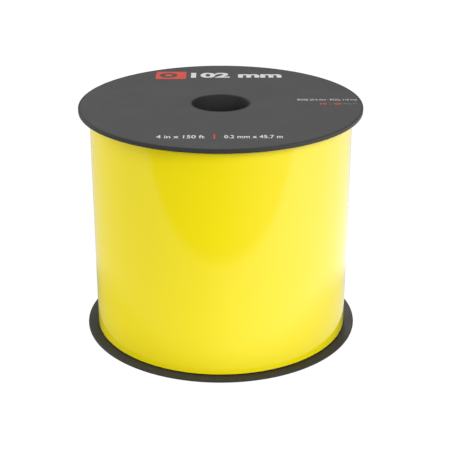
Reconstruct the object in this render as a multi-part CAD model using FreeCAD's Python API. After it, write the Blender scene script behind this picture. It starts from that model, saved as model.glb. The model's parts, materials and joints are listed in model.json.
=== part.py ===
"""Roll of sign vinyl on a flanged spool, standing on its lower flange.

Millimetres. +Z is up and along the spool's axis. The origin is on that axis, at the plane that the
lower flange's rim stands on. The strip of vinyl is wound anticlockwise seen from above, and its
leading end lies at the back, on the +Y side.
"""

import FreeCAD, Part
import math
import os

from FreeCAD import Vector

# ---- spool -------------------------------------------------------------------------------------
FLANGE_D = 125.0
UPPER_FLANGE_T = 2.0
LOWER_FLANGE_T = 1.0
RIM_OUTER_R = 0.3  # rounding of the flange's rim on its label side
RIM_INNER_R = 0.5  # and on the side towards the strip
BORE_D = 25.4  # 1 in spindle bore
BORE_EDGE_R = 0.3
SPIGOT_D = 28.8  # sleeve on the flange's inner face, inside the core
SPIGOT_L = 16.0
SPIGOT_LEAD_IN = 0.6
CRUSH_RIBS = 6
CRUSH_RIB_W = 1.2
CRUSH_RIB_L = 12.0
CRUSH_RIB_ROOT = 0.9  # how far the rib reaches into the sleeve's wall, under its crest
CORE_ID = 29.0
CORE_OD = 35.0
CORE_EDGE = 0.4  # chamfer inside each end of the core

# ---- printed face labels, each in a shallow recess of its flange --------------------------------
LABEL_T = 0.10
LABEL_RECESS = 0.12
LABEL_OD = 123.6
LABEL_ID = 26.8
LABEL_CLEAR = 0.1  # radial clearance to the recess's walls

# ---- the strip: vinyl film on a release liner ---------------------------------------------------
WEB_W = 101.6  # 4 in
WEB_LOW_CLEAR = 0.5  # between the strip's lower edge and its flange
WEB_HIGH_CLEAR = 0.1
FILM_T = 0.094  # vinyl with its adhesive
LINER_T = 0.110
WRAP_PITCH = 0.240  # last turn: film, liner and a little trapped air
ROLL_D = 116.0  # over the outermost turn
START_TAPE_T = 0.10
START_TAPE_DEG = 60.0
START_TAPE_INSET = 1.5  # how far the tape stays inside the strip's edges
START_CLEAR = 0.05  # between the tape and the first turn

# ---- leading end: the last stretch of the strip, in hinged segments -----------------------------
LEAD_DEG = 120.0  # direction of the strip's leading edge, anticlockwise from +X
SEGMENTS = 5
SEGMENT_DEG = 12.0
SEGMENT_GAP_DEG = 0.02

# ---- closing tab: paper tape over the leading edge ----------------------------------------------
TAB_T = 0.12
TAB_W = 24.0  # along Z
TAB_STUCK_DEG = 10.0  # length on the leading end
TAB_FREE_DEG = 18.0  # length beyond the leading edge
TAB_FOLD_DEG = 5.0  # the last of that is folded double, as a grip
TAB_GAP = 0.01
TAB_RISER_DEG = 0.25  # where the tape steps down over the edge

# ---- worked out ---------------------------------------------------------------------------------
WEB_T = FILM_T + LINER_T
FLANGE_GAP = WEB_LOW_CLEAR + WEB_W + WEB_HIGH_CLEAR
TOTAL_H = LOWER_FLANGE_T + FLANGE_GAP + UPPER_FLANGE_T
WEB_Z = LOWER_FLANGE_T + WEB_LOW_CLEAR
FULL_TURN = 360.0
HALF_TURN = 180.0
TAIL_START = FULL_TURN - SEGMENTS * SEGMENT_DEG
UP = Vector(0, 0, 1)
MATCH = 0.01  # how close an edge's radius or height is to the one looked for
OVERRUN = 1.0  # how far a cutting solid passes the face it cuts


def ring(r_in, r_out, z, height):
    """Plain ring about the spool's axis."""
    outer = Part.makeCylinder(r_out, height, Vector(0, 0, z))
    return outer.cut(Part.makeCylinder(r_in, height, Vector(0, 0, z)))


class Turn:
    """One turn of the wound strip as a two-centre spiral, so that each half turn is a true arc.

    Angles run from just past the step at the strip's end, at 0, round to the end itself, at 360.
    r_end is the outer radius at 360, and the radius there is one pitch more than at 0.
    """

    def __init__(self, r_end, pitch):
        self.r_end = r_end
        self.pitch = pitch
        lead = math.radians(LEAD_DEG)
        self.along = Vector(math.cos(lead), math.sin(lead), 0)

    def half(self, second, depth):
        """(centre, radius) of one half turn's arc, that far below the outer surface."""
        if second:
            return self.along * (self.pitch / 4), self.r_end - self.pitch / 4 - depth
        return self.along * (-self.pitch / 4), self.r_end - 0.75 * self.pitch - depth

    def point(self, angle, depth, second):
        """The point at that angle and depth, on the first or the second half turn's arc."""
        centre, radius = self.half(second, depth)
        a = math.radians(LEAD_DEG + angle)
        return centre + Vector(radius * math.cos(a), radius * math.sin(a), 0)

    def arc(self, a0, a1, depth):
        """The arc from a0 to a1, which lie in the same half turn."""
        second = a0 + a1 > FULL_TURN
        centre, radius = self.half(second, depth)
        circle = Part.Circle(centre, UP, radius)
        start, end = math.radians(LEAD_DEG + a0), math.radians(LEAD_DEG + a1)
        return Part.Arc(circle, start, end).toShape()

    def arcs(self, a0, a1, depth):
        """The arcs from a0 to a1, cut at the half turn where they pass it."""
        if a0 < HALF_TURN < a1:
            return [self.arc(a0, HALF_TURN, depth), self.arc(HALF_TURN, a1, depth)]
        return [self.arc(a0, a1, depth)]

    def layer(self, a0, a1, top, bottom, z, height):
        """Solid of the layer from depth top to depth bottom, between two angles."""
        first, last = a0 >= HALF_TURN, a1 > HALF_TURN
        edges = self.arcs(a0, a1, top)
        edges += self.arcs(a0, a1, bottom)
        ends = [(a0, first), (a1, last)]
        for angle, second in ends:
            outer = self.point(angle, top, second)
            inner = self.point(angle, bottom, second)
            edges.append(Part.makeLine(outer, inner))
        face = Part.Face(Part.Wire(Part.__sortEdges__(edges)))
        face.translate(Vector(0, 0, z))
        return face.extrude(Vector(0, 0, height))

    def disc(self, depth, z, height):
        """Solid of everything inside the turn's surface at that depth, with its step."""
        edges = self.arcs(0, FULL_TURN, depth)
        low, high = self.point(0, depth, False), self.point(FULL_TURN, depth, True)
        edges.append(Part.makeLine(low, high))
        face = Part.Face(Part.Wire(Part.__sortEdges__(edges)))
        face.translate(Vector(0, 0, z))
        return face.extrude(Vector(0, 0, height))


LAST_TURN = Turn(ROLL_D / 2, WRAP_PITCH)
FIRST_TURN = Turn(CORE_OD / 2 + START_TAPE_T + START_CLEAR + WEB_T, WEB_T)


def rounded_edge(disc, z, radius):
    """The disc with its round edge at height z rounded over."""
    edges = [
        e
        for e in disc.Edges
        if isinstance(e.Curve, Part.Circle) and abs(e.Curve.Center.z - z) < MATCH
    ]
    return disc.makeFillet(radius, edges)


def flange(thickness):
    """Moulded flange as it lies at the bottom: rim down, spigot up, label recess underneath."""
    r_rim, r_bore = FLANGE_D / 2, BORE_D / 2
    tip_z = thickness + SPIGOT_L
    disc = Part.makeCylinder(r_rim, thickness)
    disc = rounded_edge(disc, 0, RIM_OUTER_R)
    disc = rounded_edge(disc, thickness, RIM_INNER_R)
    spigot = Part.makeCylinder(SPIGOT_D / 2, tip_z)
    tip = [
        e
        for e in spigot.Edges
        if isinstance(e.Curve, Part.Circle) and e.Curve.Center.z > thickness
    ]
    spigot = spigot.makeChamfer(SPIGOT_LEAD_IN, tip)
    body = disc.fuse(spigot)
    for i in range(CRUSH_RIBS):
        body = body.fuse(crush_rib(i * FULL_TURN / CRUSH_RIBS, thickness))
    body = body.cut(Part.makeCylinder(r_bore, tip_z))
    r_in = LABEL_ID / 2 - LABEL_CLEAR
    r_out = LABEL_OD / 2 + LABEL_CLEAR
    body = body.cut(ring(r_in, r_out, 0, LABEL_RECESS))
    mouth = [
        e
        for e in body.Edges
        if isinstance(e.Curve, Part.Circle)
        and abs(e.Curve.Radius - r_bore) < MATCH
        and e.Curve.Center.z < MATCH
    ]
    return body.makeFillet(BORE_EDGE_R, mouth).removeSplitter()


def crush_rib(angle, z):
    """One of the ribs along the spigot that grip the core's inner wall, from height z up."""
    depth = CRUSH_RIB_ROOT + (CORE_ID - SPIGOT_D) / 2
    rib = Part.makeBox(depth, CRUSH_RIB_W, CRUSH_RIB_L)
    rib.translate(Vector(CORE_ID / 2 - depth, -CRUSH_RIB_W / 2, z))
    rib = rib.common(Part.makeCylinder(CORE_ID / 2, z + CRUSH_RIB_L))
    rib.rotate(Vector(0, 0, 0), UP, angle)
    return rib


def turned_over(shape):
    """The same piece at the other end of the spool, facing the other way."""
    copy = shape.copy()
    copy.rotate(Vector(0, 0, TOTAL_H / 2), Vector(1, 0, 0), HALF_TURN)
    return copy


def face_label():
    """Printed disc in the lower flange's recess."""
    return ring(LABEL_ID / 2, LABEL_OD / 2, LABEL_RECESS - LABEL_T, LABEL_T)


def core_tube():
    """Paperboard tube between the flanges, over both spigots."""
    tube = ring(CORE_ID / 2, CORE_OD / 2, LOWER_FLANGE_T, FLANGE_GAP)
    mouths = [
        e
        for e in tube.Edges
        if isinstance(e.Curve, Part.Circle) and abs(e.Curve.Radius - CORE_ID / 2) < MATCH
    ]
    return tube.makeChamfer(CORE_EDGE, mouths)


def start_tape():
    """Tape that holds the strip's inner end on the core."""
    height = WEB_W - 2 * START_TAPE_INSET
    tape = ring(CORE_OD / 2, CORE_OD / 2 + START_TAPE_T, WEB_Z + START_TAPE_INSET, height)
    wedge = Part.makeCylinder(CORE_OD, TOTAL_H, Vector(0, 0, 0), UP, START_TAPE_DEG)
    wedge.rotate(Vector(0, 0, 0), UP, LEAD_DEG)
    return tape.common(wedge)


def wound_web():
    """All turns but the outermost, as one tight pack, with the step at each end of the strip."""
    pack = LAST_TURN.disc(WRAP_PITCH, WEB_Z, WEB_W)
    return pack.cut(FIRST_TURN.disc(0, WEB_Z - OVERRUN, WEB_W + 2 * OVERRUN))


def strip(a0, a1, name_film, name_liner):
    """Film and liner of the outermost turn between two angles."""
    film = LAST_TURN.layer(a0, a1, 0, FILM_T, WEB_Z, WEB_W)
    liner = LAST_TURN.layer(a0, a1, FILM_T, WEB_T, WEB_Z, WEB_W)
    return {name_film: film, name_liner: liner}


def leading_end():
    """The hinged segments of the strip's last stretch, numbered towards the leading edge."""
    made = {}
    for i in range(SEGMENTS):
        a0 = TAIL_START + i * SEGMENT_DEG + SEGMENT_GAP_DEG
        a1 = TAIL_START + (i + 1) * SEGMENT_DEG
        made.update(strip(a0, a1, f"leading_film_{i + 1}", f"leading_liner_{i + 1}"))
    return made


def tab_layer(a0, a1, low, high):
    """Piece of the closing tab between two angles, from height low to high over the strip."""
    return LAST_TURN.layer(a0, a1, -high, -low, WEB_Z + (WEB_W - TAB_W) / 2, TAB_W)


def closing_tab_anchor():
    """The part of the tab that is stuck on the leading end."""
    a1 = FULL_TURN - SEGMENT_GAP_DEG
    return tab_layer(a1 - TAB_STUCK_DEG, a1, TAB_GAP, TAB_GAP + TAB_T)


def closing_tab_flap():
    """The part beyond the leading edge: a riser, the tape on the turn below, and its grip."""
    low, high = TAB_GAP, TAB_GAP + TAB_T
    start = SEGMENT_GAP_DEG
    flap = tab_layer(start, TAB_FREE_DEG, low, high)
    riser = tab_layer(start, start + TAB_RISER_DEG, low, high + WRAP_PITCH)
    grip = tab_layer(TAB_FREE_DEG - TAB_FOLD_DEG, TAB_FREE_DEG, low, high + TAB_T)
    return flap.fuse([riser, grip]).removeSplitter()


def parts():
    """Every sub-part by its node name."""
    label = face_label()
    made = {
        "core_tube": core_tube(),
        "start_tape": start_tape(),
        "lower_flange": flange(LOWER_FLANGE_T),
        "upper_flange": turned_over(flange(UPPER_FLANGE_T)),
        "lower_face_label": label,
        "upper_face_label": turned_over(label),
        "wound_web": wound_web(),
    }
    made.update(strip(0, TAIL_START, "outer_wrap_film", "outer_wrap_liner"))
    made.update(leading_end())
    made["closing_tab_anchor"] = closing_tab_anchor()
    made["closing_tab_flap"] = closing_tab_flap()
    return made


def hinge_points():
    """Where each segment of the leading end, and the tab's flap, turns, for the record."""
    points = {}
    for i in range(SEGMENTS):
        p = LAST_TURN.point(TAIL_START + i * SEGMENT_DEG, 0, True)
        points[f"segment {i + 1}"] = p
    points["tab"] = LAST_TURN.point(FULL_TURN, -TAB_GAP - TAB_T, True)
    return points


os.makedirs("parts", exist_ok=True)
for name, shape in parts().items():
    assert shape.isValid() and shape.Volume > 0, name
    shape.exportStep(f"parts/{name}.step")
    print(f"{name:22s} {len(shape.Solids)} solid  {shape.Volume:12.2f} mm3")
for name, p in hinge_points().items():
    print(f"hinge of {name}: {p.x:.4f} {p.y:.4f}")
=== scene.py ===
"""Roll of yellow sign vinyl on a flanged spool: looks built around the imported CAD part.

Metres. The strip is wound anticlockwise seen from above. Angles along its last turn run from the step
under its leading edge, at 0, round to the leading edge itself, at 360. Heights along the strip's
thickness are measured outwards from the outer face of its last turn.
"""

import json
import math

import bmesh
import bpy
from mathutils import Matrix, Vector

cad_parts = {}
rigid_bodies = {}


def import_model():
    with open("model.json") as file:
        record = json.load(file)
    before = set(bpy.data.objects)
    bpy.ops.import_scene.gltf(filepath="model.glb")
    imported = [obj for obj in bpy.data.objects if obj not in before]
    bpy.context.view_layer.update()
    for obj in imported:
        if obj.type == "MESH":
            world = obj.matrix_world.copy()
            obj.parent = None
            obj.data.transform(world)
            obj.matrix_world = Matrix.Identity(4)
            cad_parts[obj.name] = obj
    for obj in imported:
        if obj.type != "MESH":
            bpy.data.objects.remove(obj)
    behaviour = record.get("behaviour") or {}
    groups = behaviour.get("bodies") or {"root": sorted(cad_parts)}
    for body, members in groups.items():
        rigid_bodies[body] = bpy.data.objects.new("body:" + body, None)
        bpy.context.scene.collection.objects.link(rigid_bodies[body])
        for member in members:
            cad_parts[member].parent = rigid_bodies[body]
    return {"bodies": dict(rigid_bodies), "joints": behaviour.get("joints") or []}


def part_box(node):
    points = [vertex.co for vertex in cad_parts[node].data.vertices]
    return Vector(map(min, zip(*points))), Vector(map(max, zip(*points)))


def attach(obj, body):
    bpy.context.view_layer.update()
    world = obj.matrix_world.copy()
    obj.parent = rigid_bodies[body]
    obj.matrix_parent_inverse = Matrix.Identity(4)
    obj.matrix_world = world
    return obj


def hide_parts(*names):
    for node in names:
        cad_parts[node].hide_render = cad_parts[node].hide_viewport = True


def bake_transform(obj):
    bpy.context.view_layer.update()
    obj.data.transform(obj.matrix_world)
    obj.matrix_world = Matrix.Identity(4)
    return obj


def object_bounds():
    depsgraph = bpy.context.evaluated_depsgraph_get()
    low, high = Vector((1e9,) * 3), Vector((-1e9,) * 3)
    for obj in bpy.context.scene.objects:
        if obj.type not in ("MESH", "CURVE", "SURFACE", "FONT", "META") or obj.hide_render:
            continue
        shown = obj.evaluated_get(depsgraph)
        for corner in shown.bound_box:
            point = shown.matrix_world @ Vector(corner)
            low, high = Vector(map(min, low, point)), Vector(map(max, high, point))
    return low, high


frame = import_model()
cad_low, cad_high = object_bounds()

MM = 0.001
FULL_TURN = 360.0
HALF_TURN = 180.0
QUARTER_TURN = 90.0

# ---- spool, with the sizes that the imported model's boxes don't give ------------------------------
UPPER_FLANGE_T = 2.0 * MM
LOWER_FLANGE_T = 1.0 * MM
RIM_OUTER_R = 0.3 * MM
RIM_INNER_R = 0.5 * MM
BORE_R = 12.7 * MM
BORE_EDGE_R = 0.3 * MM
SPIGOT_R = 14.4 * MM
SPIGOT_L = 16.0 * MM
SPIGOT_LEAD_IN = 0.6 * MM
CRUSH_RIBS = 6
CRUSH_RIB_W = 1.2 * MM
CRUSH_RIB_L = 12.0 * MM
CRUSH_RIB_ROOT = 0.9 * MM
CORE_IR = 14.5 * MM
CORE_EDGE = 0.4 * MM
BOARD_PITCH = 62.0 * MM  # climb of the core's outer ply in one turn
LABEL_IR = 13.4 * MM
LABEL_RECESS = 0.12 * MM
LABEL_CLEAR = 0.1 * MM
LABEL_EDGE_R = 0.02 * MM

# ---- the strip ----------------------------------------------------------------------------------
FILM_T = 0.094 * MM
LINER_T = 0.110 * MM
WEB_T = FILM_T + LINER_T
WRAP_PITCH = 0.240 * MM
START_TAPE_T = 0.10 * MM
START_TAPE_DEG = 60.0
START_CLEAR = 0.05 * MM
LEAD_DEG = 120.0
SEGMENT_DEG = 12.0
SEGMENTS = len([name for name in frame["bodies"] if name.startswith("end_")])
TAIL_START = FULL_TURN - SEGMENTS * SEGMENT_DEG

# ---- closing tab --------------------------------------------------------------------------------
TAB_T = 0.12 * MM
TAB_GAP = 0.01 * MM
TAB_STUCK_DEG = 10.0
TAB_FREE_DEG = 18.0
TAB_FOLD_DEG = 5.0
TAB_STEP_DEG = 1.2  # over this length the tape comes down from the leading edge to the turn below
TAB_STEP_CUTS = 12
TAB_TEETH = 16
TAB_TOOTH_DEG = 0.35  # depth of the cutter's teeth in the stuck end
TAB_CUT_DEG = 1.0  # length of tape over which the teeth die away

# ---- how finely the meshes are cut --------------------------------------------------------------
LATHE_STEPS = 360
STEP_DEG = 0.5
ROWS = 8
ARC_STEPS = 8
WELD = 0.0002 * MM  # points closer than this are one point
SUPPORT = 0.04 * MM  # an edge this far inside each end of a flat run keeps its shading flat
SUPPORT_DEG = 0.02
LONG_RUN = 4 * SUPPORT  # straight runs longer than this get such edges
LEVEL = 0.5  # a face whose normal has more than this of z faces up or down
SHARP_DEG = 35.0

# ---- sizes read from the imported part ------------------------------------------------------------
TOTAL_H = cad_high.z
FLANGE_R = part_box("upper_flange")[1].x
LABEL_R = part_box("upper_face_label")[1].x
LABEL_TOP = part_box("upper_face_label")[1].z
LABEL_T = LABEL_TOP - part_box("upper_face_label")[0].z
WEB_LOW, WEB_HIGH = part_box("wound_web")[0].z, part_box("wound_web")[1].z
CORE_LOW, CORE_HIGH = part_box("core_tube")[0].z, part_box("core_tube")[1].z
CORE_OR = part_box("core_tube")[1].x
TAPE_LOW, TAPE_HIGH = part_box("start_tape")[0].z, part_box("start_tape")[1].z
TAB_LOW, TAB_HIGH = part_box("closing_tab_anchor")[0].z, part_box("closing_tab_anchor")[1].z
LAST_BEND = f"leading_end_bend_{SEGMENTS}"
BEND_HINGE = Vector(next(j["pos_m"] for j in frame["joints"] if j["name"] == LAST_BEND))
ALONG = Vector((math.cos(math.radians(LEAD_DEG)), math.sin(math.radians(LEAD_DEG)), 0))
# the hinge stands on the last turn's outer face, which is centred a quarter pitch ALONG there
R_END = (BEND_HINGE.xy.to_3d() - ALONG * WRAP_PITCH / 4).length + WRAP_PITCH / 4
R_START = CORE_OR + START_TAPE_T + START_CLEAR + WEB_T

# ---- print on the upper label: places and sizes seen from above, x to the right, y to the rear ----
PRINT_TOP = 0.01 * MM  # how far the ink stands on the label
PRINT_SINK = 0.005 * MM  # how far each mark's closed mesh reaches into it
EXTRUDE = 0.1  # depth of the flat curves, any amount, since each mark is then fitted to its box
LETTER_CUTS = 4  # in each bend of a letter
HEADING_WEIGHT, ROW_WEIGHT, RED_WEIGHT, PLAIN = 0.04, 0.012, 0.03, 0.0  # added to the letters' strokes
SIGN_SHIFT, SIGN_RINGS = 0.08, (0.33, 0.15)  # of the sign's circles, as shares of its block
BLOCK_AT, BLOCK_SIZE, BLOCK_R = (-23.6 * MM, 44.8 * MM), (14.4 * MM, 12.6 * MM), 1.2 * MM
HEADING_AT, HEADING_SIZE = (7.4 * MM, 44.9 * MM), (43.0 * MM, 8.6 * MM)
FRONT_LEFT_AT, FRONT_LEFT_SIZE = (-16.3 * MM, -46.8 * MM), (19.6 * MM, 4.0 * MM)
FRONT_RIGHT_AT, FRONT_RIGHT_SIZE = (13.2 * MM, -46.8 * MM), (23.6 * MM, 4.0 * MM)
DIVIDER_AT, DIVIDER_SIZE = (-2.6 * MM, -46.5 * MM), (0.6 * MM, 6.2 * MM)
SIDE_AT, SIDE_SIZE = (47.3 * MM, 4.6 * MM), (26.4 * MM, 2.3 * MM)
SIDE_RED_AT, SIDE_RED_SIZE = (48.4 * MM, -1.7 * MM), (9.2 * MM, 2.4 * MM)
SIDE_GREY_AT, SIDE_GREY_SIZE = (56.8 * MM, -1.7 * MM), (6.4 * MM, 2.1 * MM)

# ---- studio -------------------------------------------------------------------------------------
FLOOR_REACH = 2.4  # from its middle to each side
FLOOR_FRONT = -0.190  # front edge of the floor's bright part
FLOOR_FADE = 0.032  # over which that part dies away
BRIGHT_SIDE_DEG = 73.0  # from the front towards the right, where the floor shines brightest
SHEEN_BASE, SHEEN_GAIN, SHEEN_POWER = 0.70, 1.45, 1.3  # its sheen, from its dull to its bright side
DIM_BASE, DIM_GAIN, DIM_POWER = 0.14, 1.05, 2.2  # the same in front of its bright part
NEAR_FROM, NEAR_TO = 0.060, 0.088  # the sheen is dimmed at the object, out to this far
NEAR_SHEEN, NEAR_WIDEN = 0.45, 0.68  # to this share, with x narrowed so that it reaches further aside
FLOOR_BOUNCE = 0.69  # the floor's brightness as soft light
CONTACT_FROM, CONTACT_TO = 0.062, 0.075  # the contact shadow round the rim
BACKDROP = 1.02  # just over white
SKY_FROM, SKY_TO, SKY_BACK = -0.3, 0.7, 0.97  # soft light from behind, growing with a direction's +Y
CAMERA_AT = Vector((0.0, -0.4877, 0.2533))
CAMERA_DOWN_DEG = 22.96
CAMERA_TURN_DEG = -0.223
CAMERA_LENS_MM = 92.02
LIGHT_AIM = Vector((0.0, 0.0, 0.055))
# name: degrees from the front towards the right, degrees above LIGHT_AIM, distance, size, watts
LIGHTS = {
    "right_box": (36.0, 30.0, 1.0, 0.5, 5.15),
    "low_right_box": (50.0, 6.0, 0.5, 0.2, 0.62),
    "left_box": (-36.0, 15.0, 1.0, 0.5, 3.65),
    "high_left_box": (-75.0, 45.0, 1.0, 0.5, 1.8),
    "side_box": (-108.0, 15.0, 1.0, 0.5, 2.45),
    "back_box": (172.0, 0.0, 0.5, 0.09, 0.5),
}


# ================================== mesh helpers ==================================================
def mesh_piece(name, verts, faces, material):
    """A closed mesh with its normals outwards, smooth but for its sharp edges."""
    data = bpy.data.meshes.new(name)
    data.from_pydata([tuple(v) for v in verts], [], faces)
    piece = bpy.data.objects.new(name, data)
    bpy.context.scene.collection.objects.link(piece)
    finish_mesh(piece, material)
    return piece


def finish_mesh(piece, material):
    """Welds the piece's mesh, turns its normals out, and shades it smooth but for its sharp edges."""
    bm = bmesh.new()
    bm.from_mesh(piece.data)
    bmesh.ops.remove_doubles(bm, verts=bm.verts, dist=WELD)
    bmesh.ops.recalc_face_normals(bm, faces=bm.faces)
    for face in bm.faces:
        face.smooth = True
    for edge in bm.edges:
        if len(edge.link_faces) == 2 and edge.calc_face_angle(0) > math.radians(SHARP_DEG):
            edge.smooth = False
    bm.to_mesh(piece.data)
    bm.free()
    piece.data.materials.clear()
    piece.data.materials.append(material)


def arc(centre, radius, start_deg, end_deg):
    """Points along an arc in a lathe profile's (r, z) plane."""
    points = []
    for i in range(ARC_STEPS + 1):
        a = math.radians(start_deg + (end_deg - start_deg) * i / ARC_STEPS)
        points.append((centre[0] + radius * math.cos(a), centre[1] + radius * math.sin(a)))
    return points


def supported(profile):
    """The closed profile with a point just inside each end of its longer straight runs."""
    made = []
    for i, point in enumerate(profile):
        here, there = Vector(point), Vector(profile[(i + 1) % len(profile)])
        made.append(here)
        run = there - here
        if run.length > LONG_RUN:
            made.append(here + run.normalized() * SUPPORT)
            made.append(there - run.normalized() * SUPPORT)
    return made


def lathe(profile):
    """(vertices, faces) of a closed (r, z) profile turned about the spool's axis."""
    points = supported(profile)
    count = len(points)
    verts, faces = [], []
    for step in range(LATHE_STEPS):
        a = math.radians(step * FULL_TURN / LATHE_STEPS)
        verts += [(p.x * math.cos(a), p.x * math.sin(a), p.y) for p in points]
        this, after = step * count, (step + 1) % LATHE_STEPS * count
        for i in range(count):
            j = (i + 1) % count
            faces.append((this + i, this + j, after + j, after + i))
    return verts, faces


def spiral_point(r_end, pitch, angle, height, z):
    """A point of a two-centre spiral turn, whose outer radius is r_end at 360, a pitch more than at 0."""
    side = 1 if angle > HALF_TURN else -1
    centre = ALONG * (side * pitch / 4)
    radius = r_end - (0.5 - side * 0.25) * pitch + height
    a = math.radians(LEAD_DEG + angle)
    return centre + Vector((radius * math.cos(a), radius * math.sin(a), z))


def on_strip(angle, height, z):
    """A point of the last turn."""
    return spiral_point(R_END, WRAP_PITCH, angle, height, z)


def stations(start, end, step):
    """Angles from start to end, with one close to each end so that the shading meets its neighbour's."""
    count = max(1, round((end - start) / step))
    inner = [start + (end - start) * i / count for i in range(1, count)]
    return [start, start + SUPPORT_DEG, *inner, end - SUPPORT_DEG, end]


def rows(low, high, count):
    """Heights from low to high, with one close to each end."""
    inner = [low + (high - low) * i / count for i in range(1, count)]
    return [low, low + SUPPORT, *inner, high - SUPPORT, high]


def tube_mesh(sections, closed):
    """(vertices, faces) of a closed solid through a list of sections, each a ring of the same count."""
    count = len(sections[0])
    verts = [point for section in sections for point in section]
    faces = []
    last = len(sections) if closed else len(sections) - 1
    for s in range(last):
        this, after = s * count, (s + 1) % len(sections) * count
        for i in range(count):
            j = (i + 1) % count
            faces.append((this + i, this + j, after + j, after + i))
    if not closed:
        half = count // 2
        for first in (0, (len(sections) - 1) * count):
            for i in range(half - 1):
                inner = count - 1 - i
                faces.append((first + i, first + i + 1, first + inner - 1, first + inner))
    return verts, faces


def layer(a0, a1, top, bottom):
    """(vertices, faces) of one layer of the strip between two angles, from height bottom to top."""
    heights = rows(WEB_LOW, WEB_HIGH, ROWS)
    sections = []
    for angle in stations(a0, a1, STEP_DEG):
        outer = [on_strip(angle, top, z) for z in heights]
        inner = [on_strip(angle, bottom, z) for z in reversed(heights)]
        sections.append(outer + inner)
    return tube_mesh(sections, closed=False)


# ================================== material helpers ==============================================
EVEN = (1, 1, 1)  # object coordinates as they are
NOISE_LOW, NOISE_HIGH = 0.3, 0.7  # between these lies most of a noise texture's factor
SEAM_SHARE = 0.03  # how much of the core's ply its seam takes up


def principled(name, sockets):
    """A Principled material with these socket values: (material, node tree, shader)."""
    made = bpy.data.materials.new(name)
    made.use_nodes = True
    shader = made.node_tree.nodes["Principled BSDF"]
    for socket, value in sockets.items():
        shader.inputs[socket].default_value = value
    return made, made.node_tree, shader


def node(tree, kind, inputs, **settings):
    """A node with its settings, and its inputs set to values or linked to other nodes' outputs."""
    made = tree.nodes.new(kind)
    for key, value in settings.items():
        setattr(made, key, value)
    for key, value in inputs.items():
        if isinstance(value, bpy.types.NodeSocket):
            tree.links.new(value, made.inputs[key])
        else:
            made.inputs[key].default_value = value
    return made


def object_place(tree, stretch):
    """Object coordinates in metres, scaled by stretch along x, y and z."""
    place = node(tree, "ShaderNodeTexCoord", {})
    mapping = node(tree, "ShaderNodeMapping", {"Vector": place.outputs["Object"], "Scale": stretch})
    return mapping.outputs["Vector"]


def noise(tree, place, scale, detail):
    """Factor output of a noise texture."""
    made = node(tree, "ShaderNodeTexNoise", {"Vector": place, "Scale": scale, "Detail": detail})
    return made.outputs["Fac"]


def spread(tree, value, low, high):
    """The value, from noise's usual span, mapped onto low to high."""
    span = {"Value": value, "From Min": NOISE_LOW, "From Max": NOISE_HIGH, "To Min": low, "To Max": high}
    return node(tree, "ShaderNodeMapRange", span).outputs["Result"]


def between(tree, factor, first, second):
    """Colour between two by the factor."""
    made = node(tree, "ShaderNodeMix", {"Factor": factor}, data_type="RGBA")
    colours = [socket for socket in made.inputs if socket.type == "RGBA"]
    for socket, colour in zip(colours, (first, second)):
        if isinstance(colour, bpy.types.NodeSocket):
            tree.links.new(colour, socket)
        else:
            socket.default_value = colour
    return next(socket for socket in made.outputs if socket.type == "RGBA")


def bump(tree, height, depth, strength):
    """Normal output of a bump of that depth in metres."""
    inputs = {"Height": height, "Distance": depth, "Strength": strength}
    return node(tree, "ShaderNodeBump", inputs).outputs["Normal"]


# ================================== materials =====================================================
def vinyl_film():
    """Glossy yellow cast film: a clear top over a saturated base, faint flow marks, fine orange peel."""
    sockets = {
        "Specular IOR Level": 0.0,
        "Coat Weight": 1.0,
        "Coat IOR": 1.5,
    }
    made, tree, shader = principled("yellow_vinyl", sockets)
    flow = noise(tree, object_place(tree, (30, 30, 6)), 1.0, 3.0)
    grain = noise(tree, object_place(tree, EVEN), 900.0, 2.0)
    peel = noise(tree, object_place(tree, EVEN), 420.0, 1.0)
    colour = between(tree, flow, (0.945, 0.785, 0.003, 1), (0.965, 0.803, 0.005, 1))
    tree.links.new(colour, shader.inputs["Base Color"])
    tree.links.new(spread(tree, grain, 0.42, 0.5), shader.inputs["Roughness"])
    tree.links.new(spread(tree, flow, 0.045, 0.06), shader.inputs["Coat Roughness"])
    tree.links.new(bump(tree, peel, 0.001 * MM, 0.4), shader.inputs["Coat Normal"])
    return made


def release_liner():
    """Off-white silicone-coated kraft paper, with a faint fibre cloud."""
    made, tree, shader = principled("liner_paper", {"Specular IOR Level": 0.35})
    cloud = noise(tree, object_place(tree, EVEN), 160.0, 5.0)
    fibre = noise(tree, object_place(tree, (1, 1, 0.25)), 2400.0, 4.0)
    colour = between(tree, cloud, (0.70, 0.68, 0.61, 1), (0.80, 0.78, 0.72, 1))
    tree.links.new(colour, shader.inputs["Base Color"])
    tree.links.new(spread(tree, fibre, 0.48, 0.62), shader.inputs["Roughness"])
    tree.links.new(bump(tree, fibre, 0.01 * MM, 0.5), shader.inputs["Normal"])
    return made


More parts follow.
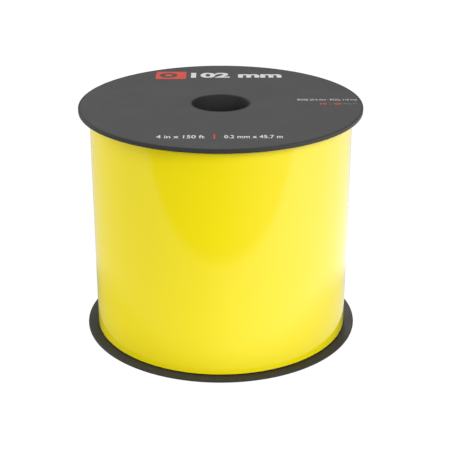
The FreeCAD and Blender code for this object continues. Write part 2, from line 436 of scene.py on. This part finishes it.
def strip_edges():
    """Cut edges of the tightly wound strip: yellow film and pale liner, turn on turn."""
    made, tree, shader = principled("wound_edges", {"Roughness": 0.6, "Specular IOR Level": 0.3})
    place = node(tree, "ShaderNodeTexCoord", {})
    apart = node(tree, "ShaderNodeSeparateXYZ", {"Vector": place.outputs["Object"]})
    flat = node(tree, "ShaderNodeCombineXYZ", {"X": apart.outputs["X"], "Y": apart.outputs["Y"]})
    radius = node(tree, "ShaderNodeVectorMath", {0: flat.outputs["Vector"]}, operation="LENGTH")
    inputs = {0: radius.outputs["Value"], 1: WRAP_PITCH}
    turns = node(tree, "ShaderNodeMath", inputs, operation="DIVIDE")
    part = node(tree, "ShaderNodeMath", {0: turns.outputs["Value"]}, operation="FRACT")
    limits = {0: part.outputs["Value"], 1: FILM_T / WRAP_PITCH}
    is_liner = node(tree, "ShaderNodeMath", limits, operation="GREATER_THAN")
    dust = noise(tree, object_place(tree, EVEN), 300.0, 4.0)
    film = between(tree, dust, (0.80, 0.66, 0.02, 1), (0.90, 0.75, 0.03, 1))
    liner = between(tree, dust, (0.60, 0.57, 0.42, 1), (0.70, 0.68, 0.56, 1))
    tree.links.new(between(tree, is_liner.outputs["Value"], film, liner), shader.inputs["Base Color"])
    return made


def flange_plastic():
    """Satin black polystyrene with a fine moulded texture."""
    made, tree, shader = principled("black_plastic", {"Specular IOR Level": 0.3})
    texture = noise(tree, object_place(tree, EVEN), 2600.0, 3.0)
    flow = noise(tree, object_place(tree, EVEN), 55.0, 4.0)
    colour = between(tree, flow, (0.026, 0.026, 0.027, 1), (0.036, 0.036, 0.037, 1))
    tree.links.new(colour, shader.inputs["Base Color"])
    tree.links.new(spread(tree, flow, 0.54, 0.62), shader.inputs["Roughness"])
    tree.links.new(bump(tree, texture, 0.006 * MM, 0.35), shader.inputs["Normal"])
    return made


def face_label():
    """Matte dark grey printed film with a fine grain."""
    made, tree, shader = principled("label_film", {"Specular IOR Level": 0.3})
    grain = noise(tree, object_place(tree, EVEN), 1800.0, 4.0)
    mottle = noise(tree, object_place(tree, EVEN), 70.0, 4.0)
    darker = between(tree, grain, (0.066, 0.066, 0.067, 1), (0.079, 0.079, 0.080, 1))
    lighter = between(tree, grain, (0.072, 0.072, 0.073, 1), (0.085, 0.085, 0.086, 1))
    tree.links.new(between(tree, mottle, darker, lighter), shader.inputs["Base Color"])
    tree.links.new(spread(tree, mottle, 0.62, 0.70), shader.inputs["Roughness"])
    tree.links.new(bump(tree, grain, 0.006 * MM, 0.4), shader.inputs["Normal"])
    return made


def ink(name, light, dark):
    """Screen-printed ink: its own roughness, and a little mottle."""
    made, tree, shader = principled(name, {"Specular IOR Level": 0.35})
    mottle = noise(tree, object_place(tree, EVEN), 900.0, 3.0)
    tree.links.new(between(tree, mottle, dark, light), shader.inputs["Base Color"])
    tree.links.new(spread(tree, mottle, 0.48, 0.58), shader.inputs["Roughness"])
    return made


def core_board():
    """Brown paperboard wound on a slant, with its seams."""
    made, tree, shader = principled("core_board", {"Specular IOR Level": 0.2})
    place = node(tree, "ShaderNodeTexCoord", {})
    apart = node(tree, "ShaderNodeSeparateXYZ", {"Vector": place.outputs["Object"]})
    axes = {0: apart.outputs["Y"], 1: apart.outputs["X"]}
    angle = node(tree, "ShaderNodeMath", axes, operation="ARCTAN2")
    turned = {0: angle.outputs["Value"], 1: 1 / math.tau}
    turn = node(tree, "ShaderNodeMath", turned, operation="MULTIPLY")
    climb = {0: apart.outputs["Z"], 1: 1 / BOARD_PITCH, 2: turn.outputs["Value"]}
    ply = node(tree, "ShaderNodeMath", climb, operation="MULTIPLY_ADD")
    across = node(tree, "ShaderNodeMath", {0: ply.outputs["Value"]}, operation="FRACT")
    limits = {0: across.outputs["Value"], 1: SEAM_SHARE}
    seam = node(tree, "ShaderNodeMath", limits, operation="LESS_THAN")
    fibre = noise(tree, object_place(tree, EVEN), 700.0, 6.0)
    board = between(tree, fibre, (0.24, 0.155, 0.085, 1), (0.38, 0.265, 0.16, 1))
    colour = between(tree, seam.outputs["Value"], board, (0.15, 0.09, 0.045, 1))
    tree.links.new(colour, shader.inputs["Base Color"])
    tree.links.new(spread(tree, fibre, 0.82, 0.95), shader.inputs["Roughness"])
    tree.links.new(bump(tree, fibre, 0.04 * MM, 0.6), shader.inputs["Normal"])
    return made


def start_tape_paper():
    """Cream paper tape over the strip's inner end."""
    made, tree, shader = principled("cream_tape", {"Specular IOR Level": 0.3})
    fibre = noise(tree, object_place(tree, (900, 900, 200)), 1.0, 4.0)
    colour = between(tree, fibre, (0.58, 0.49, 0.32, 1), (0.68, 0.60, 0.43, 1))
    tree.links.new(colour, shader.inputs["Base Color"])
    tree.links.new(spread(tree, fibre, 0.70, 0.84), shader.inputs["Roughness"])
    tree.links.new(bump(tree, fibre, 0.01 * MM, 0.5), shader.inputs["Normal"])
    return made


def crepe_tape():
    """White crepe paper tape, crinkled across its length, with painted shade in the crinkles' hollows."""
    made, tree, shader = principled("crepe_paper", {"Specular IOR Level": 0.25})
    crinkle = noise(tree, object_place(tree, (2200, 2200, 260)), 1.0, 4.0)
    fibre = noise(tree, object_place(tree, EVEN), 1500.0, 5.0)
    # darker where the crinkle is low: painted shade in the crinkles' hollows
    colour = between(tree, crinkle, (0.64, 0.62, 0.55, 1), (0.80, 0.79, 0.73, 1))
    tree.links.new(colour, shader.inputs["Base Color"])
    tree.links.new(spread(tree, fibre, 0.72, 0.86), shader.inputs["Roughness"])
    tree.links.new(bump(tree, crinkle, 0.03 * MM, 0.8), shader.inputs["Normal"])
    return made


# ================================== spool pieces ==================================================
def flange_profile(thickness):
    """(r, z) outline of a flange that lies rim down, from the recess's outer wall and anticlockwise."""
    tip = thickness + SPIGOT_L
    recess_in, recess_out = LABEL_IR - LABEL_CLEAR, LABEL_R + LABEL_CLEAR
    outline = [(recess_out, LABEL_RECESS), (recess_out, 0)]
    outline += arc((FLANGE_R - RIM_OUTER_R, RIM_OUTER_R), RIM_OUTER_R, -QUARTER_TURN, 0)
    outline += arc((FLANGE_R - RIM_INNER_R, thickness - RIM_INNER_R), RIM_INNER_R, 0, QUARTER_TURN)
    outline += [(SPIGOT_R, thickness), (SPIGOT_R, tip - SPIGOT_LEAD_IN), (SPIGOT_R - SPIGOT_LEAD_IN, tip)]
    outline += [(BORE_R, tip)]
    outline += arc((BORE_R + BORE_EDGE_R, BORE_EDGE_R), BORE_EDGE_R, HALF_TURN, HALF_TURN + QUARTER_TURN)
    outline += [(recess_in, 0), (recess_in, LABEL_RECESS)]
    return outline


def crush_rib(angle, z):
    """(vertices, faces) of one rib along the spigot, with its crest on the core's inner wall."""
    depth = CRUSH_RIB_ROOT + CORE_IR - SPIGOT_R
    half = CRUSH_RIB_W / 2
    crest = [(math.sqrt(CORE_IR**2 - y**2), y) for y in (-half, -half / 3, half / 3, half)]
    outline = [(CORE_IR - depth, -half), *crest, (CORE_IR - depth, half)]
    a = math.radians(angle)
    verts = []
    for height in (z, z + CRUSH_RIB_L):
        for x, y in outline:
            verts.append((x * math.cos(a) - y * math.sin(a), x * math.sin(a) + y * math.cos(a), height))
    count = len(outline)
    faces = [tuple(range(count)), tuple(range(count, 2 * count))]
    for i in range(count):
        j = (i + 1) % count
        faces.append((i, j, count + j, count + i))
    return verts, faces


def joined(meshes):
    """(vertices, faces) of several meshes as one."""
    verts, faces = [], []
    for more_verts, more_faces in meshes:
        start = len(verts)
        verts += more_verts
        faces += [tuple(start + i for i in face) for face in more_faces]
    return verts, faces


def turned_over(verts):
    """The same points at the other end of the spool, facing the other way."""
    return [(x, -y, TOTAL_H - z) for x, y, z in verts]


def flange(name, thickness, upper, material):
    """Disc, rim, recess, spigot and crush ribs of one flange."""
    ribs = [crush_rib(i * FULL_TURN / CRUSH_RIBS, thickness) for i in range(CRUSH_RIBS)]
    verts, faces = joined([lathe(flange_profile(thickness)), *ribs])
    piece = mesh_piece(f"{name}_moulding", turned_over(verts) if upper else verts, faces, material)
    return settle(piece, name)


def label_disc(name, low, material):
    """Printed disc, with the fine rounding of its cut edges."""
    high, r = low + LABEL_T, LABEL_EDGE_R
    outline = arc((LABEL_R - r, low + r), r, -QUARTER_TURN, 0)
    outline += arc((LABEL_R - r, high - r), r, 0, QUARTER_TURN)
    outline += arc((LABEL_IR + r, high - r), r, QUARTER_TURN, HALF_TURN)
    outline += arc((LABEL_IR + r, low + r), r, HALF_TURN, HALF_TURN + QUARTER_TURN)
    piece = mesh_piece(f"{name}_disc", *lathe(outline), material)
    return settle(piece, name)


def core(material):
    """Paperboard tube, chamfered inside at each end."""
    outline = [(CORE_OR, CORE_LOW), (CORE_OR, CORE_HIGH), (CORE_IR + CORE_EDGE, CORE_HIGH)]
    outline += [(CORE_IR, CORE_HIGH - CORE_EDGE), (CORE_IR, CORE_LOW + CORE_EDGE)]
    outline += [(CORE_IR + CORE_EDGE, CORE_LOW)]
    piece = mesh_piece("core_board_tube", *lathe(outline), material)
    return settle(piece, "core_tube")


def settle(piece, node_name):
    """The piece rides on the spool and stands for the CAD node, which it hides."""
    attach(piece, "root")
    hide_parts(node_name)
    return piece


# ================================== the wound strip ===============================================
def start_tape(material):
    """Tape round part of the core, under the first turn."""
    sections = []
    for step in stations(0, START_TAPE_DEG, STEP_DEG):
        a = math.radians(LEAD_DEG + step)
        ray = Vector((math.cos(a), math.sin(a), 0))
        heights = rows(TAPE_LOW, TAPE_HIGH, ROWS)
        outer = [ray * (CORE_OR + START_TAPE_T) + Vector((0, 0, z)) for z in heights]
        inner = [ray * CORE_OR + Vector((0, 0, z)) for z in reversed(heights)]
        sections.append(outer + inner)
    piece = mesh_piece("start_tape_strip", *tube_mesh(sections, closed=False), material)
    return settle(piece, "start_tape")


def wound_pack(film, edges):
    """All turns but the outermost: film outside, the turns' cut edges at both sides."""
    heights = rows(WEB_LOW, WEB_HIGH, ROWS)
    sections = []
    for angle in stations(0, FULL_TURN, STEP_DEG):
        outer = [on_strip(angle, -WRAP_PITCH, z) for z in heights]
        inner = [spiral_point(R_START, WEB_T, angle, 0, z) for z in reversed(heights)]
        sections.append(outer + inner)
    piece = mesh_piece("wound_turns", *tube_mesh(sections, closed=True), film)
    piece.data.materials.append(edges)
    for face in piece.data.polygons:
        if abs(face.normal.z) > LEVEL:
            face.material_index = 1
    return settle(piece, "wound_web")


def outer_wrap(film, liner):
    """The outermost turn, as far as where its free end begins."""
    top = mesh_piece("last_turn_film", *layer(0, TAIL_START, 0, -FILM_T), film)
    settle(top, "outer_wrap_film")
    under = mesh_piece("last_turn_liner", *layer(0, TAIL_START, -FILM_T, -WEB_T), liner)
    settle(under, "outer_wrap_liner")


def leading_end(film, liner):
    """The strip's free end, in lengths that each reach across one of its hinges."""
    kinds = (("film", 0, -FILM_T, film), ("liner", -FILM_T, -WEB_T, liner))
    half = SEGMENT_DEG / 2
    for i in range(SEGMENTS):
        a0 = TAIL_START + i * SEGMENT_DEG - (half if i else 0)
        bent = TAIL_START + i * SEGMENT_DEG + half
        a1 = FULL_TURN if i == SEGMENTS - 1 else bent
        for kind, top, bottom, material in kinds:
            piece = mesh_piece(f"free_end_{kind}_{i + 1}", *layer(a0, a1, top, bottom), material)
            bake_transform(piece)
            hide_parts(f"leading_{kind}_{i + 1}")


# ================================== closing tab ===================================================
def tab_path():
    """(angle past the leading edge, height of the tape's middle) along the tab, round its fold and back."""
    middle = TAB_GAP + TAB_T / 2
    low = middle - WRAP_PITCH
    fold_r = (TAB_T + TAB_GAP) / 2
    fold_at = TAB_FREE_DEG - math.degrees(TAB_T / R_END)
    stuck = stations(FULL_TURN - TAB_STUCK_DEG, FULL_TURN, STEP_DEG)
    path = [(angle - FULL_TURN, middle) for angle in stuck]
    for i in range(1, TAB_STEP_CUTS + 1):
        share = i / TAB_STEP_CUTS
        eased = share * share * (3 - 2 * share)
        path.append((TAB_STEP_DEG * share, middle - WRAP_PITCH * eased))
    run = fold_at - TAB_STEP_DEG
    cuts = round(run / STEP_DEG)
    path += [(TAB_STEP_DEG + run * i / cuts, low) for i in range(1, cuts + 1)]
    for i in range(1, ARC_STEPS):
        a = math.pi * i / ARC_STEPS
        out = math.degrees(fold_r / R_END) * math.sin(a)
        path.append((fold_at + out, low + fold_r * (1 - math.cos(a))))
    folded = TAB_FOLD_DEG - (TAB_FREE_DEG - fold_at)
    cuts = round(TAB_FOLD_DEG / STEP_DEG)
    path += [(fold_at - folded * i / cuts, low + 2 * fold_r) for i in range(cuts + 1)]
    return path


def tab_place(angle, height, z):
    """A point over the strip's end, or past it, measured from the last turn's height at the edge."""
    a = math.radians(LEAD_DEG + angle)
    radius = R_END + height
    return Vector((radius * math.cos(a), radius * math.sin(a), z))


def tab_section(path, i, heights):
    """The tape's ring of points at one place on its path: up its outer side and down its inner one."""
    angle, height = path[i]
    before, after = path[max(i - 1, 0)], path[min(i + 1, len(path) - 1)]
    run = Vector((math.radians(after[0] - before[0]) * R_END, after[1] - before[1])).normalized()
    across = Vector((-run.y, run.x)) * (TAB_T / 2)
    near_end = max(0.0, 1 - (angle + TAB_STUCK_DEG) / TAB_CUT_DEG)
    sides = []
    for sign in (1, -1):
        side = []
        for z in heights:
            tooth = abs(((z - TAB_LOW) / (TAB_HIGH - TAB_LOW) * TAB_TEETH) % 1 - 0.5) * 2
            shift = TAB_TOOTH_DEG * tooth * near_end
            shift += sign * math.degrees(across.x / R_END)
            side.append(tab_place(angle + shift, height + sign * across.y, z))
        sides.append(side)
    return sides[0] + sides[1][::-1]


def closing_tab(material):
    """Paper tape over the leading edge: stuck end with cut teeth, step, and folded grip."""
    path = tab_path()
    heights = rows(TAB_LOW, TAB_HIGH, 2 * TAB_TEETH)
    sections = [tab_section(path, i, heights) for i in range(len(path))]
    piece = mesh_piece("closing_tab_tape", *tube_mesh(sections, closed=False), material)
    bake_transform(piece)
    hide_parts("closing_tab_anchor", "closing_tab_flap")


# ================================== print on the upper label ======================================
def curve_mesh(curve):
    """Mesh of a filled and extruded curve, and the curve removed."""
    stand_in = bpy.data.objects.new("curve", curve)
    bpy.context.scene.collection.objects.link(stand_in)
    graph = bpy.context.evaluated_depsgraph_get()
    data = bpy.data.meshes.new_from_object(stand_in.evaluated_get(graph))
    bpy.data.objects.remove(stand_in)
    bpy.data.curves.remove(curve)
    return data


def printed(name, data, at, size, material):
    """The mesh as ink on the upper label: fitted to the size and centred at that place."""
    low = [min(v.co[i] for v in data.vertices) for i in range(3)]
    high = [max(v.co[i] for v in data.vertices) for i in range(3)]
    bottom, top = LABEL_TOP - PRINT_SINK, LABEL_TOP + PRINT_TOP
    for vertex in data.vertices:
        share = [(vertex.co[i] - low[i]) / (high[i] - low[i]) for i in range(3)]
        x = at[0] + (share[0] - 0.5) * size[0]
        y = at[1] + (share[1] - 0.5) * size[1]
        vertex.co = (x, y, bottom + share[2] * (top - bottom))
    piece = bpy.data.objects.new(name, data)
    bpy.context.scene.collection.objects.link(piece)
    finish_mesh(piece, material)
    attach(piece, "root")
    return piece


def lettering(name, words, weight, at, size, material):
    """Words in the built-in letters, made heavier by weight."""
    curve = bpy.data.curves.new(name, "FONT")
    curve.body = words
    curve.offset = weight
    curve.extrude = EXTRUDE
    curve.resolution_u = LETTER_CUTS
    return printed(name, curve_mesh(curve), at, size, material)


def outline_curve(name, outlines):
    """Flat filled curve from closed outlines, where one inside another is a hole."""
    curve = bpy.data.curves.new(name, "CURVE")
    curve.dimensions = "2D"
    curve.fill_mode = "BOTH"
    curve.extrude = EXTRUDE
    for points in outlines:
        spline = curve.splines.new("POLY")
        spline.points.add(len(points) - 1)
        for point, place in zip(spline.points, points):
            point.co = (place[0], place[1], 0, 1)
        spline.use_cyclic_u = True
    return curve


def rounded_box(width, height, radius):
    """Outline of a box about the origin with round corners."""
    points = []
    corners = ((1, 1, 0), (-1, 1, 1), (-1, -1, 2), (1, -1, 3))
    for x, y, quarter in corners:
        centre = (x * (width / 2 - radius), y * (height / 2 - radius))
        points += arc(centre, radius, quarter * QUARTER_TURN, (quarter + 1) * QUARTER_TURN)
    return points


def circle(centre, radius):
    """Outline of a circle."""
    count = 4 * ARC_STEPS
    turn = [math.tau * i / count for i in range(count)]
    return [(centre[0] + radius * math.cos(a), centre[1] + radius * math.sin(a)) for a in turn]


def label_print(white, red, grey):
    """Generic print on the upper label: a roll sign in a red block, the strip's sizes, small rows."""
    width, height = BLOCK_SIZE
    rings = [circle((-width * SIGN_SHIFT, 0), height * share) for share in SIGN_RINGS]
    sign = [rounded_box(width, height, BLOCK_R), *rings]
    printed("print_roll_sign", curve_mesh(outline_curve("sign", sign)), BLOCK_AT, BLOCK_SIZE, red)
    lettering("print_width", "102 mm", HEADING_WEIGHT, HEADING_AT, HEADING_SIZE, white)
    left, right = (FRONT_LEFT_AT, FRONT_LEFT_SIZE), (FRONT_RIGHT_AT, FRONT_RIGHT_SIZE)
    lettering("print_size_inch", "4 in x 150 ft", ROW_WEIGHT, *left, white)
    lettering("print_size_metric", "0.2 mm x 45.7 m", ROW_WEIGHT, *right, white)
    bar = outline_curve("bar", [rounded_box(*DIVIDER_SIZE, DIVIDER_SIZE[0] / 2)])
    printed("print_divider", curve_mesh(bar), DIVIDER_AT, DIVIDER_SIZE, red)
    lettering("print_side_row", "BORE 25.4 mm - ROLL 116 mm", PLAIN, SIDE_AT, SIDE_SIZE, white)
    lettering("print_side_red", "10 - 40", RED_WEIGHT, SIDE_RED_AT, SIDE_RED_SIZE, red)
    lettering("print_side_grey", "deg C", PLAIN, SIDE_GREY_AT, SIDE_GREY_SIZE, grey)


# ================================== studio ========================================================
def bright_side(tree, direction):
    """How far a direction points to the bright side of the studio: 1 straight at it, 0 across or away."""
    a = math.radians(BRIGHT_SIDE_DEG)
    flat = node(tree, "ShaderNodeVectorMath", {0: direction, 1: (1, 1, 0)}, operation="MULTIPLY")
    unit = node(tree, "ShaderNodeVectorMath", {0: flat.outputs["Vector"]}, operation="NORMALIZE")
    aim = {0: unit.outputs["Vector"], 1: (math.sin(a), -math.cos(a), 0)}
    far = node(tree, "ShaderNodeVectorMath", aim, operation="DOT_PRODUCT").outputs["Value"]
    return node(tree, "ShaderNodeMath", {0: far, 1: 0.0}, operation="MAXIMUM").outputs["Value"]


def power_curve(tree, value, power, gain, base):
    """base + gain * value ** power."""
    raised = node(tree, "ShaderNodeMath", {0: value, 1: power}, operation="POWER")
    inputs = {0: raised.outputs["Value"], 1: gain, 2: base}
    return node(tree, "ShaderNodeMath", inputs, operation="MULTIPLY_ADD").outputs["Value"]


def ramp(tree, value, start, end, low, high):
    """Goes smoothly from low to high as the value goes from start to end."""
    span = {"Value": value, "From Min": start, "From Max": end, "To Min": low, "To Max": high}
    return node(tree, "ShaderNodeMapRange", span, interpolation_type="SMOOTHSTEP").outputs["Result"]


def floor_shine(tree, place):
    """How bright the floor is in reflections: most on its bright side, less at the object and in front."""
    bright = bright_side(tree, place)
    glow = power_curve(tree, bright, SHEEN_POWER, SHEEN_GAIN, SHEEN_BASE)
    widened = {0: place, 1: (NEAR_WIDEN, 1, 1)}
    oval = node(tree, "ShaderNodeVectorMath", widened, operation="MULTIPLY").outputs["Vector"]
    away = node(tree, "ShaderNodeVectorMath", {0: oval}, operation="LENGTH").outputs["Value"]
    near = ramp(tree, away, NEAR_FROM, NEAR_TO, NEAR_SHEEN, 1.0)
    shine = node(tree, "ShaderNodeMath", {0: glow, 1: near}, operation="MULTIPLY").outputs["Value"]
    dim = power_curve(tree, bright, DIM_POWER, DIM_GAIN, DIM_BASE)
    ahead = node(tree, "ShaderNodeSeparateXYZ", {"Vector": place}).outputs["Y"]
    return ramp(tree, ahead, FLOOR_FRONT, FLOOR_FRONT + FLOOR_FADE, dim, shine)


def floor_bounce(tree, place):
    """How much soft light the floor gives back: none at the rim and in front."""
    away = node(tree, "ShaderNodeVectorMath", {0: place}, operation="LENGTH").outputs["Value"]
    lit = ramp(tree, away, CONTACT_FROM, CONTACT_TO, 0.0, FLOOR_BOUNCE)
    ahead = node(tree, "ShaderNodeSeparateXYZ", {"Vector": place}).outputs["Y"]
    return ramp(tree, ahead, FLOOR_FRONT, FLOOR_FRONT + FLOOR_FADE, 0.0, lit)


def floor():
    """Plain white floor, brighter in reflections on its bright side, and dimmer as a source of light."""
    white = bpy.data.materials.new("floor_white")
    white.use_nodes = True
    tree = white.node_tree
    tree.nodes.clear()
    place = node(tree, "ShaderNodeTexCoord", {}).outputs["Object"]
    rays = node(tree, "ShaderNodeLightPath", {}).outputs
    shine, bounce = floor_shine(tree, place), floor_bounce(tree, place)
    inputs = {"Value": rays["Is Glossy Ray"], "To Min": bounce, "To Max": shine}
    unseen = node(tree, "ShaderNodeMapRange", inputs).outputs["Result"]
    inputs = {"Value": rays["Is Camera Ray"], "To Min": unseen, "To Max": BACKDROP}
    strength = node(tree, "ShaderNodeMapRange", inputs).outputs["Result"]
    light = node(tree, "ShaderNodeEmission", {"Strength": strength})
    out = node(tree, "ShaderNodeOutputMaterial", {})
    tree.links.new(light.outputs["Emission"], out.inputs["Surface"])
    corners = [(x * FLOOR_REACH, y * FLOOR_REACH, 0) for x, y in ((-1, -1), (1, -1), (1, 1), (-1, 1))]
    data = bpy.data.meshes.new("floor")
    data.from_pydata(corners, [], [(0, 1, 2, 3)])
    data.materials.append(white)
    sheet = bpy.data.objects.new("floor", data)
    bpy.context.scene.collection.objects.link(sheet)


def surroundings():
    """Plain backdrop, with soft light from behind the object and none from in front of it."""
    world = bpy.data.worlds.new("studio")
    world.use_nodes = True
    bpy.context.scene.world = world
    tree = world.node_tree
    tree.nodes.clear()
    way = node(tree, "ShaderNodeTexCoord", {}).outputs["Generated"]
    behind = node(tree, "ShaderNodeSeparateXYZ", {"Vector": way}).outputs["Y"]
    sky = ramp(tree, behind, SKY_FROM, SKY_TO, 0.0, SKY_BACK)
    seen = node(tree, "ShaderNodeLightPath", {}).outputs["Is Camera Ray"]
    span = {"Value": seen, "To Min": sky, "To Max": BACKDROP}
    strength = node(tree, "ShaderNodeMapRange", span).outputs["Result"]
    light = node(tree, "ShaderNodeBackground", {"Strength": strength})
    out = node(tree, "ShaderNodeOutputWorld", {})
    tree.links.new(light.outputs["Background"], out.inputs["Surface"])


def light_boxes():
    """Soft square boxes round the object."""
    for name, (side, rise, distance, size, watts) in LIGHTS.items():
        data = bpy.data.lights.new(name, "AREA")
        data.size = size
        data.energy = watts
        light = bpy.data.objects.new(name, data)
        out, up = math.radians(side), math.radians(rise)
        way = Vector((math.sin(out) * math.cos(up), -math.cos(out) * math.cos(up), math.sin(up)))
        light.location = LIGHT_AIM + way * distance
        light.rotation_euler = way.to_track_quat("Z", "Y").to_euler()
        bpy.context.scene.collection.objects.link(light)


def camera():
    """Camera in front of the object, looking down on it."""
    data = bpy.data.cameras.new("camera")
    data.lens = CAMERA_LENS_MM
    made = bpy.data.objects.new("camera", data)
    made.location = CAMERA_AT
    tilt = math.radians(QUARTER_TURN - CAMERA_DOWN_DEG)
    made.rotation_euler = (tilt, 0, math.radians(CAMERA_TURN_DEG))
    bpy.context.scene.collection.objects.link(made)
    bpy.context.scene.camera = made


# ================================== everything ====================================================
def build():
    """All pieces and their materials."""
    film, liner = vinyl_film(), release_liner()
    plastic, label = flange_plastic(), face_label()
    flange("lower_flange", LOWER_FLANGE_T, False, plastic)
    flange("upper_flange", UPPER_FLANGE_T, True, plastic)
    for name in ("lower_face_label", "upper_face_label"):
        label_disc(name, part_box(name)[0].z, label)
    core(core_board())
    start_tape(start_tape_paper())
    wound_pack(film, strip_edges())
    outer_wrap(film, liner)
    leading_end(film, liner)
    closing_tab(crepe_tape())
    white = ink("ink_white", (0.94, 0.94, 0.93, 1), (0.86, 0.86, 0.85, 1))
    red = ink("ink_red", (0.84, 0.062, 0.030, 1), (0.76, 0.050, 0.024, 1))
    grey = ink("ink_grey", (0.30, 0.30, 0.30, 1), (0.24, 0.24, 0.24, 1))
    label_print(white, red, grey)


build()
floor()
surroundings()
light_boxes()
camera()
bpy.context.scene.view_settings.view_transform = "Standard"
